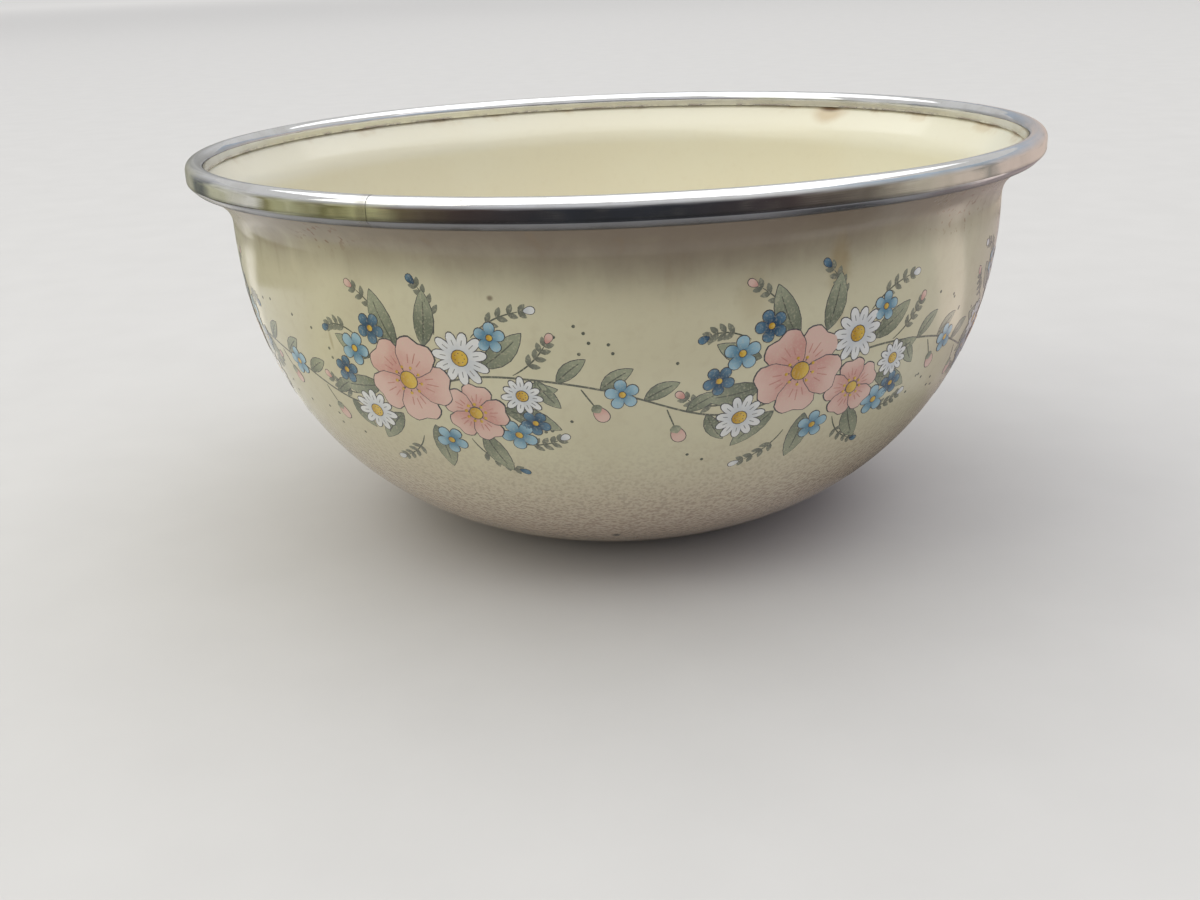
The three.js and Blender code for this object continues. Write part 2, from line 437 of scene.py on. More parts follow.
def ink_line(ink, site, start, middle, end, broad, proud, steps=9):
    """Thin bowed lines, as broad as broad (1 - (2t - 1)^4) at t, with four points across at every step."""
    site, start, middle, end = np.broadcast_arrays(*map(np.atleast_2d, (site, start, middle, end)))
    t = np.linspace(0.0, 1.0, steps + 1)[:, None]
    path, way = bow(start[:, None], middle[:, None], end[:, None], t)
    path, inside, way = path[:, [0, -1]], path[:, 1:-1, None], way[:, 1:-1]
    t = t[1:-1]
    way /= np.linalg.norm(way, axis=-1, keepdims=True)
    left = left_of(way) * (1 - (2 * t - 1) ** 4) * broad / 2
    rows = inside + FOUR_ACROSS[:, None] * left[:, :, None]
    flat = np.concatenate([path[:, :1], rows.reshape(len(site), -1, 2), path[:, 1:]], axis=1)
    height = np.concatenate([[SUNK], np.tile([SUNK, proud, proud, SUNK], steps - 1), [SUNK]])
    points = on_wall(site[:, None], flat[..., 0], flat[..., 1], height)
    here = 1 + np.arange(rows[0].size // 2).reshape(-1, 4)
    along = np.concatenate([[0.0], np.repeat(t[:, 0], 4), [1.0]])
    lay(ink, points, closed_tube(here, 0, len(height) - 1), columns(along, 0.0))


# %% [markdown]
# ## The shapes of the print
#
# The garland is a plain traditional one: round blossoms, daisies, small blue flowers, leaves and a running
# vine. Each shape is one closed edge in unit size: along the shape from 0 to 1, and across it from -1 to 1.
# All edges start as a circle, and a taper makes them narrow where the real petal or leaf is.


# %% Unit edges
def tapered(taper):
    """The edge along (1 - cos t) / 2 and across -sin t times a taper of a = along and t."""
    def edge(t):
        a = (1 - np.cos(t)) / 2
        return a, -np.sin(t) * taper(a, t)
    return edge


disc_edge = tapered(lambda a, t: 1.0)
round_petal = tapered(lambda a, t: 0.45 + 0.55 * a**0.6)
slim_petal = tapered(lambda a, t: 0.6 + 0.4 * a)
leaf_edge = tapered(lambda a, t: np.abs(np.sin(t)) ** 0.7 * (1.12 - 0.24 * a))


def notched_petal(t):
    """A round petal with its tip pushed back by 0.12 exp(-((t - pi) / 0.34)^2) and a rippled edge."""
    a, c = round_petal(t)
    return a - 0.12 * np.exp(-(((t - np.pi) / 0.34) ** 2)), c * (1 + 0.035 * np.cos(9 * t))


# %% [markdown]
# ## The garland
#
# Seven posies stand round the bowl on a waving vine. The first function lays any shape over a thin dark
# outline, which is the same shape up to a quarter of a millimetre larger all round. The next ones build
# flowers from it. A small random turn and size keeps the repeats from looking stamped.

# %% Shapes with an outline
OUTLINE = 0.24
INK_STEP = 0.008


def outlined(ink, edge, site, at, turn, length, width, proud, outline=OUTLINE, **more):
    """A shape over its outline, which starts an outline's width earlier and is larger all round."""
    grown = (length + 2 * outline, width + 2 * outline)
    ink_patch("outline", edge, site, at - outline * way_of(turn), turn, *grown, proud - INK_STEP, **more)
    ink_patch(ink, edge, site, at, turn, length, width, proud, **more)


def disc(ink, site, at, radius, proud, sides, rings=(0.9,)):
    """Discs of a radius about their places."""
    start = at - np.array([radius, 0.0])
    ink_patch(ink, disc_edge, site, start, 0.0, 2 * radius, 2 * radius, proud, rings=rings, sides=sides)


def heart(site, at, radius, edge, proud, sides, rings=(0.5, 0.96)):
    """The mustard heart of a flower over a dark disc that shows as its edge."""
    disc("outline", site, at, radius + edge, proud, sides, (0.96,))
    disc("mustard", site, at, radius, proud + INK_STEP, sides, rings)


def spokes(site, centres, first_turn, count, start):
    """Sites, places and turns of count petals about each centre, each starting at a radius start."""
    turn = first_turn[:, None] + 2 * np.pi * np.arange(count) / count
    place = centres[:, None] + start * way_of(turn)
    return np.repeat(site, count, axis=0), place.reshape(-1, 2), turn.reshape(-1)


# %% Flowers and leaves for many places at once
PETAL_LAYER = 0.086
HEART_LAYER = 0.1
LEAF_LAYER = 0.044
BLOSSOM_LAYER = 0.09
OVERLAP_STEP = 0.018


def blossoms(site, centres, first_turn, radius):
    """Five notched petals that overlap in turn, three fine veins on each, a heart and a ring of stamens."""
    _, place, turn = spokes(site, centres, first_turn, 5, 0.08 * radius)
    for number in range(5):
        proud = BLOSSOM_LAYER + OVERLAP_STEP * number
        at, way = place[number::5], turn[number::5]
        outlined("blush", notched_petal, site, at, way, 0.94 * radius, 1.06 * radius, proud,
                 rings=(0.25, 0.5, 0.75, 0.975), sides=28)
        for side in (-0.3, 0.0, 0.3):
            vein = radius * way_of(way + side)
            inner, outer = at + 0.26 * vein, at + (0.68 - abs(side) / 3) * vein
            ink_line("blush_vein", site, inner, (inner + outer) / 2, outer, 0.26, proud + 0.006, steps=5)
    heart(site, centres, 0.2 * radius, 0.2, 0.185, 16)
    many, grain, _ = spokes(site, centres, first_turn + 0.2, 9, 0.3 * radius)
    root = 0.4 * np.repeat(centres, 9, axis=0) + 0.6 * grain
    ink_line("outline", many, root, grain, grain, 0.2, 0.186, steps=3)
    disc("mustard", many, grain, 0.42, 0.2, 8)


def daisies(site, centres, first_turn, radius):
    """Eleven slim white petals with a grey crease each, and a mustard heart with a dotted edge."""
    many, at, way = spokes(site, centres, first_turn, 11, 0.16 * radius)
    long = 0.84 * radius * draw.uniform(0.9, 1.06, len(way))
    outlined("white", slim_petal, many, at, way, long, 0.42 * radius, PETAL_LAYER, outline=0.2, sides=14)
    ahead = way_of(way) * long[:, None]
    crease = (at + share * ahead for share in (0.3, 0.5, 0.78))
    ink_line("crease", many, *crease, 0.2, PETAL_LAYER + INK_STEP, steps=4)
    heart(site, centres, 0.29 * radius, 0.2, HEART_LAYER, 14)
    many, dots, _ = spokes(site, centres, first_turn, 7, 0.17 * radius)
    disc("outline", many, dots, 0.15, HEART_LAYER + 2 * INK_STEP, 6)


def blue_flowers(site, centres, first_turn, radius, ink):
    """Five round petals and a small mustard heart."""
    many, at, way = spokes(site, centres, first_turn, 5, 0.1 * radius)
    size = (0.92 * radius, 0.86 * radius)
    outlined(ink, round_petal, many, at, way, *size, PETAL_LAYER, outline=0.18, sides=14)
    heart(site, centres, 0.22 * radius, 0.14, HEART_LAYER, 10, (0.9,))


def leaves(site, at, turn, length, width, bend):
    """Pointed leaves, each with a midrib that bows as the leaf does."""
    outlined("leaf", leaf_edge, site, at, turn, length, width, LEAF_LAYER,
             outline=0.16, bend=bend, sides=16)
    ahead = length[:, None] * way_of(turn)
    aside = 0.25 * bend[:, None] * left_of(way_of(turn))
    middle, tip = at + 0.5 * ahead + 1.5 * aside, at + 0.9 * ahead + 0.36 * aside
    ink_line("stem", site, at, middle, tip, 0.3, LEAF_LAYER + INK_STEP, steps=7)


# %% [markdown]
# One posy is a short list of places in millimetres, measured from its middle: across to the right, and up.
# Every second posy is turned left to right, as a designer does to make a border run on.

# %% Seven posies on the vine
POSIES = 7
posy_pitch = 2 * np.pi / POSIES
posy_angle = np.radians(-90 + (np.arange(POSIES) + 0.5) * 360 / POSIES)
posy_site = columns(posy_angle, 0.0)
posy_hand = np.where(np.arange(POSIES) % 2 == 0, 1.0, -1.0)


def planted(rows):
    """The rows (x, y, ...) of one posy at all sites: sites, places, other columns and hands."""
    rows = np.asarray(rows, dtype=float)
    hand = np.repeat(posy_hand, len(rows))
    every = np.tile(rows, (POSIES, 1))
    place = columns(every[:, 0] * hand, every[:, 1])
    return np.repeat(posy_site, len(rows), axis=0), place, every[:, 2:], hand


# %% Leaves of the posies: across, up, turn in degrees, length, width and bend
POSY_LEAVES = [
    (-6, 10, 118, 14, 5.6, 2), (1, 11, 78, 13, 5.0, -2), (-13, 0, 186, 13, 5.4, 2),
    (-9, -7, 232, 12, 4.8, -2), (-1, -9, 268, 13, 5.2, 2), (11, -10, 292, 12, 5.0, -2),
    (17, -3, 342, 13, 5.0, 2), (14, 7, 38, 13, 5.0, -2), (-14, 7, 152, 11, 4.4, 2), (19, 2, 8, 11, 4.2, -2),
]
site, at, rest, hand = planted(POSY_LEAVES)
turn = np.radians(rest[:, 0] + draw.uniform(-7, 7, len(rest)))
leaves(site, at, np.where(hand > 0, turn, np.pi - turn), rest[:, 1], rest[:, 2], rest[:, 3] * hand)
print("leaves of the posies:", len(site))

# %% Flowers of the posies: kind, across, up, radius and, for blue ones, the ink
POSY_FLOWERS = [
    (blossoms, -4.5, 2.5, 11.0), (blossoms, 10.5, -4.5, 7.6),
    (daisies, 9.5, 9.0, 6.6), (daisies, -17.0, -7.5, 5.8), (daisies, 22.0, 0.5, 4.6),
    (blue_flowers, -18.5, 8.5, 4.0, "sky_blue"), (blue_flowers, -12.5, 14.0, 3.6, "dusk_blue"),
    (blue_flowers, -23.0, 2.5, 3.4, "dusk_blue"), (blue_flowers, 19.0, -10.0, 4.0, "sky_blue"),
    (blue_flowers, 23.5, -6.5, 3.2, "dusk_blue"), (blue_flowers, 2.0, -13.0, 3.8, "sky_blue"),
    (blue_flowers, 17.0, 14.0, 3.4, "sky_blue"),
]
for flowers, x, y, *kind in POSY_FLOWERS:
    site, at, _, _ = planted([(x, y)])
    flowers(site, at, draw.uniform(0, 6, POSIES), *kind)
print("flowers laid:", {ink: len(batches) for ink, batches in inks.items()})

# %% [markdown]
# Fine sprigs fan out from each posy: a bowed stem, pairs of tiny leaves along it and a bud at its end.

# %% Sprigs: where each starts, bows and ends
SPRIGS = [
    (-7, 12, -9, 19, -16, 23), (4, 13, 6, 20, 1, 25), (12, 13, 17, 19, 25, 20),
    (-19, -3, -25, -5, -30, -1), (7, -11, 9, -18, 16, -21), (-5, -12, -7, -18, -14, -21),
    (20, 5, 26, 8, 29, 13), (-16, 11, -22, 15, -26, 13), (16, -12, 23, -14, 28, -11),
]
site, start, rest, hand = planted(SPRIGS)
flip = columns(hand, 1.0)
middle, end = rest[:, :2] * flip, rest[:, 2:] * flip
ink_line("stem", site, start, middle, end, 0.34, 0.026)
for t in (0.42, 0.6, 0.78, 0.93):
    spot, way = bow(start, middle, end, t)
    heading = np.arctan2(way[:, 1], way[:, 0])
    for side in (-1, 1):
        splay = heading + side * (0.75 + draw.uniform(-0.15, 0.15, len(heading)))
        ink_patch("sprig_leaf", leaf_edge, site, spot, splay, 3.2 - t, 1.35, 0.034, rings=(0.96,), sides=10)
_, way = bow(start, middle, end, 1.0)
heading = np.arctan2(way[:, 1], way[:, 0])
for number, ink in enumerate(("blush", "dusk_blue", "white")):
    buds = slice(number, None, 3)
    outlined(ink, round_petal, site[buds], end[buds], heading[buds], 2.5, 2.0, 0.05, outline=0.15, sides=12)
print("sprigs:", len(site))

# %% [markdown]
# The vine joins the posies: one line round the whole bowl, five and a half millimetres up and down. It
# carries leaves on alternate sides, buds and a blue flower between the posies, and a few loose berries.

# %% The running vine
VINE_SWING = 5.5
VINE_BROAD = 0.5
VINE_STEPS = 560


def vine_up(angle):
    """The vine's way up at an angle: a sine with one wave for each posy and a small quicker one."""
    wave = POSIES * (angle - posy_angle[0])
    return VINE_SWING * np.sin(wave) + 0.9 * np.sin(2 * wave + 1.0)


def vine_ring():
    """A thin line closed round the bowl: four points across at each angle, from edge to edge."""
    angle = np.linspace(0.0, 2 * np.pi, VINE_STEPS, endpoint=False)[:, None]
    site = columns(angle, vine_up(angle) + VINE_BROAD / 2 * FOUR_ACROSS)
    points = on_wall(site, 0.0, 0.0, np.array([SUNK, 0.02, 0.02, SUNK]))
    here = np.arange(4 * VINE_STEPS).reshape(-1, 4)
    beside, ahead = np.roll(here, -1, axis=1), np.roll(here, -1, axis=0)
    faces = faces_of(here, beside, np.roll(beside, -1, axis=0), ahead)
    uv = columns(site[..., 0], 0.0).reshape(-1, 2)
    lay("stem", points.reshape(1, -1, 3), [faces], uv, shade=[0.5])


vine_ring()
print("vine:", VINE_STEPS, "steps round the bowl")

# %% What grows on the vine, and berries beside it
here = np.zeros((POSIES, 2))
every = np.ones(POSIES)
for number, share in enumerate(np.linspace(0.29, 0.71, 9)):
    angle = posy_angle + posy_pitch * share
    site = columns(angle, vine_up(angle))
    slope = np.arctan((vine_up(angle + 0.005) - vine_up(angle - 0.005)) / 0.97)
    side = 1 if number % 2 else -1
    turn = slope + side * np.radians(48)
    if number in (2, 6):
        stalk = 6.5 * way_of(turn)
        ink_line("stem", site, here, 0.6 * stalk, stalk, 0.36, 0.024, steps=5)
        outlined("blush", round_petal, site, 0.92 * stalk, turn, 4.6, 3.8, 0.06, outline=0.18)
        ink_patch("leaf", leaf_edge, site, 0.86 * stalk, turn, 2.4, 2.6, 0.074, sides=12, rings=(0.96,))
    elif number == 4:
        blue_flowers(site, here, draw.uniform(0, 6, POSIES), 3.6, "sky_blue")
    else:
        leaves(site, here, turn, 8.5 * every, 3.4 * every, 1.6 * side * every)

berries = (POSIES, 14)
berry_angle = posy_angle[:, None] + posy_pitch * (0.5 + draw.uniform(-0.22, 0.22, berries))
berry_up = vine_up(berry_angle) + draw.choice([-1, 1], berries) * draw.uniform(7.5, 15.0, berries)
berry_site = columns(berry_angle, berry_up).reshape(-1, 2)
disc("stem", berry_site, np.zeros_like(berry_site), 0.42, 0.03, 8)
print("berries:", len(berry_site))

# %% [markdown]
# All the marks of one ink become one mesh, with the way along and across each mark kept as its UV map and a
# random shade for each mark, so that the ink's finish can fade from root to tip and differ between petals.

# %% One mesh for each ink
print_pieces = {}
for ink, batches in inks.items():
    points, faces, uv, shade = zip(*batches)
    before = np.cumsum([0] + [len(batch) for batch in points[:-1]])
    print_pieces[ink] = bowl_piece(
        "print_" + ink,
        np.concatenate(points),
        [rows + start for batch, start in zip(faces, before) for rows in batch],
        "ivory_enamel",
        uv=np.concatenate(uv),
        shade=np.concatenate(shade),
    )

# %% [markdown]
# ## Writing finishes as sums
#
# A finish is a tree of small nodes. Placing them one by one hides what is meant, so a thin wrapper round a
# socket turns plus, minus, times, divide and power into Math nodes, and one method adds any other node.


# %% A wire that can be reckoned with
class Wire:
    """A socket of a node tree; arithmetic on it adds a Math node and gives the new node's output."""

    def __init__(self, tree, socket=None):
        self.tree = tree
        self.socket = socket

    def node(self, kind, settings=None, inputs=None, output=0):
        """Adds a node: settings, with ramp stops as (place, colour), then its sockets' values or links."""
        made = self.tree.nodes.new(kind)
        for key, value in (settings or {}).items():
            if key == "stops":
                for extra in value[2:]:
                    made.color_ramp.elements.new(extra[0])
                for stop, (place, tint) in zip(made.color_ramp.elements, value):
                    stop.position = place
                    stop.color = tint
            else:
                setattr(made, key, value)
        for key, value in (inputs or {}).items():
            if isinstance(value, Wire):
                self.tree.links.new(value.socket, made.inputs[key])
            else:
                made.inputs[key].default_value = value
        return Wire(self.tree, made.outputs[output])

    def reckon(self, operation, *values):
        return self.node("ShaderNodeMath", {"operation": operation}, dict(enumerate(values)))

    def __add__(self, other):
        return self.reckon("ADD", self, other)

    def __radd__(self, other):
        return self.reckon("ADD", other, self)

    def __sub__(self, other):
        return self.reckon("SUBTRACT", self, other)

    def __rsub__(self, other):
        return self.reckon("SUBTRACT", other, self)

    def __mul__(self, other):
        return self.reckon("MULTIPLY", self, other)

    def __rmul__(self, other):
        return self.reckon("MULTIPLY", other, self)

    def __truediv__(self, other):
        return self.reckon("DIVIDE", self, other)

    def __pow__(self, other):
        return self.reckon("POWER", self, other)


# %% [markdown]
# A few phrases come back in every finish: a noise of a given grain size, a soft step between two values, a
# mix of two colours, and the place on the bowl as an angle and a height. Colours are written as they look
# on a screen, and lengths in millimetres.


# %% Opening and closing a finish
def paint(red, green, blue):
    """A screen colour of 0 to 255 as the linear colour that the shader needs."""
    value = np.array([red, green, blue]) / 255.0
    linear = np.where(value <= 0.04045, value / 12.92, ((value + 0.055) / 1.055) ** 2.4)
    return (*linear.tolist(), 1.0)


def new_finish(name, piece):
    """A material with an empty node tree, put on a piece, and a wire into that tree."""
    material = bpy.data.materials.new(name)
    material.use_nodes = True
    material.node_tree.nodes.clear()
    piece.data.materials.append(material)
    return Wire(material.node_tree)


def close_finish(wire, **sockets):
    """One Principled shader with its sockets, named with _ for a space, joined to the output."""
    named = {key.replace("_", " "): value for key, value in sockets.items()}
    shader = wire.node("ShaderNodeBsdfPrincipled", {}, named, "BSDF")
    output = wire.tree.nodes.new("ShaderNodeOutputMaterial")
    wire.tree.links.new(shader.socket, output.inputs["Surface"])


# %% Phrases for patterns
def noise(place, size_mm, detail=3.0, rough=0.5):
    """Noise with features about size_mm across."""
    sockets = {"Vector": place, "Scale": 1000.0 / size_mm, "Detail": detail, "Roughness": rough}
    return place.node("ShaderNodeTexNoise", {}, sockets)


def ease(value, low, high):
    """0 below low, 1 above high, smooth between; low may be the larger."""
    sockets = {"Value": value, "From Min": low, "From Max": high}
    return value.node("ShaderNodeMapRange", {"interpolation_type": "SMOOTHSTEP"}, sockets, "Result")


def blend(factor, first, second):
    """One colour turning into another as the factor goes from 0 to 1; a tuple is a screen colour."""
    first, second = (side if isinstance(side, Wire) else paint(*side) for side in (first, second))
    return factor.node("ShaderNodeMix", {"data_type": "RGBA"}, {0: factor, 6: first, 7: second}, 2)


def layered(tint, *layers):
    """A tint under layers laid on in turn, each a cover of 0 to 1 and a colour."""
    for cover, colour in layers:
        tint = blend(cover, tint, colour)
    return tint


def bump(height, distance_mm):
    """A surface normal from a height of 0 to 1 that stands for distance_mm."""
    return height.node("ShaderNodeBump", {}, {"Distance": distance_mm * MM, "Height": height}, "Normal")


def stretched(place, x, y, z):
    """The place with each axis scaled, so that a noise grows long along the axis with the small number."""
    return place.node("ShaderNodeMapping", {}, {"Vector": place, "Scale": (x, y, z)})


# %% Phrases for places
def axis(vector, name):
    """The X, Y or Z of a vector."""
    return vector.node("ShaderNodeSeparateXYZ", {}, {0: vector}, name)


def own_place(wire):
    """The place in metres in the piece's own frame, which is the CAD frame for every piece of the bowl."""
    return wire.node("ShaderNodeTexCoord", {}, {}, "Object")


def bowl_place(wire):
    """The place in the bowl's own frame, its angle in degrees and its height in millimetres."""
    place = own_place(wire)
    x, y = axis(place, "X"), axis(place, "Y")
    return place, y.reckon("ARCTAN2", y, x) * (180.0 / math.pi), axis(place, "Z") * 1000.0


MARK_RADIUS = 98.0


def mark(angle, height, at_angle, at_height, half_across, half_up, ragged, radius=MARK_RADIUS):
    """A ragged oval mark, 1 in its middle and 0 outside, at an angle in degrees and a height in mm."""
    across = (angle - at_angle) * (math.pi / 180.0 * radius / half_across)
    upward = (height - at_height) / half_up
    return ease((across * across + upward * upward) ** 0.5 + ragged, 1.0, 0.25)


# %% [markdown]
# ## The outer enamel
#
# Fired enamel is glass: a clear gloss over an opaque ivory that is never quite even. On this bowl it has
# yellowed, it carries faint runs under the rim where washing-up water dries, a few rust marks, and a chip
# near the foot. Right under the rim the colour is painted brown, partly grime and partly painted shade from
# the flared lip, darkest on one side. Towards the foot the glass was sprayed thinner and keeps a fine
# orange peel; there a mauve-grey tint is painted reflection and shade, and the hollows of the peel are
# painted darker as painted shade. The peel is a bump whose height fades out up the wall, and all stains are
# masks in the bowl's own angle and height.

# %% Peel that fades up the wall
PEEL_DEPTH = 0.42
GLASS_IOR = 1.5


def peel_lumps(place):
    """The lumps of the peel by themselves, 0 in a pit and 1 on a crest."""
    return noise(place, 0.95, 2.0, 0.5)


def near_foot(height):
    """1 near the foot, 0 from the middle of the wall upwards."""
    return ease(height, 52.0, 16.0)


def peel(place, height):
    """A normal from lumps a millimetre across, strong near the foot and faint above, and slow waves."""
    lumps = peel_lumps(place) * (0.03 + 0.97 * near_foot(height))
    return bump(lumps + 0.05 * noise(place, 9.0, 1.0), PEEL_DEPTH)


# %% Ivory enamel: angle, height, half across, half up, strength and colour of each stain
STAINS = [
    (-62.5, 81.5, 4.0, 8.5, 0.42, (146, 120, 66)),
    (-62.0, 74.0, 1.4, 8.0, 0.34, (146, 120, 70)),
    (-74.0, 77.2, 5.0, 8.0, 0.20, (146, 122, 80)),
    (-70.0, 68.0, 4.0, 5.0, 0.16, (150, 128, 88)),
    (-64.0, 61.6, 0.75, 4.4, 0.75, (128, 102, 58)),
    (-72.6, 71.3, 1.0, 1.0, 0.95, (110, 62, 34)),
    (-105.3, 79.3, 0.9, 0.8, 0.7, (104, 86, 70)),
    (-92.3, 12.4, 2.0, 0.9, 1.0, (34, 31, 29)),
    (-131.0, 66.0, 0.7, 3.6, 0.4, (140, 120, 84)),
    (38.0, 76.0, 3.6, 7.0, 0.4, (142, 114, 68)),
    (121.0, 80.0, 4.4, 8.0, 0.45, (140, 112, 64)),
]
SPECKED = [(-40.0, 89.0, 20.0, 9.0), (-128.0, 91.0, 14.0, 5.0)]

wire = new_finish("ivory_enamel_finish", outer_coat)
place, angle, height = bowl_place(wire)
cloud = noise(place, 45.0, 4.0)
fine = noise(place, 2.4, 3.0)
runs = noise(stretched(place, 1.0, 1.0, 0.14), 7.0, 4.0, 0.6)
ragged = (fine - 0.5) * 0.55 + (cloud - 0.5) * 0.4
# painted shade: the hollows of the peel near the foot are painted darker
pits_and_pit_shade = ease(peel_lumps(place), 0.56, 0.36) * near_foot(height)
# painted shade and grime: the wall is painted brown right under the rim, where the flared lip shades it
under_rim_grime_and_shade = ease(height + (runs - 0.5) * 8.0 + (cloud - 0.5) * 6.0, 79.0, 94.0) * 0.78
# painted shade and grime: a wide darker patch under the rim on one side
side_grime_and_shade = mark(angle, height, -79.0, 98.0, 98.0, 26.0, ragged * 0.4)
drips = ease(runs, 0.58, 0.76) * ease(height, 68.0, 90.0) * 0.16
specks = ease(noise(place, 1.4, 1.0), 0.60, 0.68) * 0.7
tint = layered(
    blend(ease(cloud, 0.3, 0.7), (207, 202, 172), (200, 193, 163)),
    # painted reflection and shade: a mauve-grey tint towards the foot
    (ease(height, 48.0, 10.0) * 0.85, (198, 180, 164)),
    (pits_and_pit_shade * 0.42, (134, 112, 102)),
    (ease(fine, 0.45, 0.8) * 0.12, (160, 140, 112)),
    (under_rim_grime_and_shade, (120, 105, 91)),
    (side_grime_and_shade * 0.62, (108, 93, 81)),
    (drips, (146, 120, 82)),
    *((mark(angle, height, *where, ragged) * strength, stain) for *where, strength, stain in STAINS),
    *((mark(angle, height, *where, ragged) * specks, (122, 88, 58)) for where in SPECKED),
)
shine = 0.07 + 0.06 * ease(cloud, 0.35, 0.75) + 0.16 * under_rim_grime_and_shade + 0.04 * fine
close_finish(wire, Base_Color=tint, Roughness=shine, IOR=GLASS_IOR, Normal=peel(place, height))
print("ivory enamel:", len(wire.tree.nodes), "nodes")

# %% [markdown]
# ## The inner enamel
#
# Inside, the glass is smoother and a warmer cream. Where the strip's inner leg sits on it, water stays, so
# a broken rust-brown line follows the leg with one larger patch. Spoons leave faint scuffs on the floor.

# %% Cream enamel
LEG_LINE = 104.0

wire = new_finish("cream_enamel_finish", inner_coat)
place, angle, height = bowl_place(wire)
cloud = noise(place, 60.0, 3.0)
fine = noise(place, 2.2, 3.0)
patchy = noise(place, 14.0, 4.0, 0.6)
ragged = (patchy - 0.5) * 0.9
seep = ease(height + (patchy - 0.5) * 2.4, 94.2, 96.0) * ease(patchy, 0.50, 0.68)
crust = ease(height + (fine - 0.5) * 0.7, 95.9, 96.5) * ease(patchy, 0.46, 0.66)
scuffs = ease(noise(stretched(place, 1.0, 0.12, 1.0), 0.8, 2.0), 0.62, 0.72) * ease(height, 14.0, 3.0)
tint = layered(
    blend(ease(cloud, 0.3, 0.7), (232, 228, 206), (229, 222, 196)),
    (ease(fine, 0.5, 0.85) * 0.08, (196, 176, 132)),
    # painted shade: the inner wall is painted greyer and darker towards the rim
    (ease(height, 60.0, 92.0) * 0.45, (212, 208, 186)),
    (seep * 0.35, (186, 158, 108)),
    (crust * 0.6, (128, 98, 64)),
    (mark(angle, height, 48.5, 95.2, 8.0, 4.0, ragged, LEG_LINE) * 0.5, (176, 142, 88)),
    (mark(angle, height, 48.5, 96.3, 5.0, 1.2, ragged, LEG_LINE) * 0.8, (98, 68, 42)),
    (scuffs * 0.25, (150, 146, 136)),
)
shine = 0.12 + 0.08 * ease(cloud, 0.35, 0.75) + 0.3 * crust + 0.15 * scuffs
waves = bump(noise(place, 6.0, 1.0) + 0.3 * fine, 0.03)
close_finish(wire, Base_Color=tint, Roughness=shine, IOR=GLASS_IOR, Normal=waves)
print("cream enamel:", len(wire.tree.nodes), "nodes")

# %% [markdown]
# ## Steel and stainless
#
# The pressing is wholly covered, so its matt mill finish only shows if a coat is taken away. The strip is
# polished stainless: it mirrors the room, with hairline scratches that run round the rim, cloudy patches
# from handling, and brown tarnish at the foot of the inner leg and inside the hem. Where the skirt turns
# into the hem, the strip is painted dark grey as a painted reflection of dark surroundings, and is a little
# rougher. Its UV map gives metres round the rim and metres across the strip, so the scratches follow the
# strip and not the axes.

# %% Mill steel
wire = new_finish("sheet_steel_finish", steel)
grain = noise(stretched(own_place(wire), 1.0, 1.0, 6.0), 3.0, 4.0)
tint = blend(grain, (128, 129, 132), (156, 156, 158))
close_finish(wire, Base_Color=tint, Metallic=1.0, Roughness=0.42 + 0.2 * grain, Normal=bump(grain, 0.02))
print("mill steel:", len(wire.tree.nodes), "nodes")

# %% Polished stainless
wire = new_finish("stainless_finish", rim_strip)
place, angle, height = bowl_place(wire)
strip_place = wire.node("ShaderNodeUVMap", {"uv_map": "surface"})
across = axis(strip_place, "Y") * 1000.0
hairs = noise(stretched(strip_place, 0.02, 1.0, 1.0), 0.22, 2.0, 0.6)
smears = noise(place, 11.0, 4.0, 0.6)
pits_and_pit_shade = noise(place, 0.9, 2.0)
# painted reflection: the lower skirt and hem bend are painted dark grey for the dark surroundings they
# mirror
hem_painted_dark_reflection = ease(across + (smears - 0.5) * 0.8, 10.9, 12.0)
beside_seam = mark(angle, height, -117.4, 98.0, 2.2, 9.0, (smears - 0.5) * 0.8, RIM_RADIUS)
tarnish = ease(across + (smears - 0.5) * 1.4, 0.9, 0.1) * ease(smears, 0.42, 0.64)
grime = ease(across + (smears - 0.5) * 1.6, 12.6, 14.4)
tint = layered(
    blend(ease(smears, 0.35, 0.75), (228, 229, 231), (214, 214, 213)),
    (hem_painted_dark_reflection * 0.8, (108, 110, 117)),
    (beside_seam * 0.4, (150, 146, 134)),
    (ease(pits_and_pit_shade, 0.62, 0.8) * ease(smears, 0.5, 0.7) * 0.4, (140, 128, 112)),
    (tarnish * 0.85, (112, 82, 50)),
    (grime * 0.75, (70, 62, 54)),
)
shine = 0.05 + 0.06 * ease(hairs, 0.4, 0.8) + 0.06 * ease(smears, 0.45, 0.8)
shine = shine + 0.35 * tarnish + 0.3 * grime + 0.12 * beside_seam + 0.10 * hem_painted_dark_reflection
scratches = bump(hairs + 0.6 * smears, 0.006)
close_finish(wire, Base_Color=tint, Metallic=1.0 - 0.75 * tarnish, Roughness=shine, Normal=scratches)
print("stainless:", len(wire.tree.nodes), "nodes")

# %% [markdown]
# ## The inks
#
# Ceramic inks are sieved pigments under the same gloss as the enamel. Each one fades from the root of a
# petal to its tip, differs a little from mark to mark, and has a fine grain where the pigment lies thin and
# the ivory shows through.

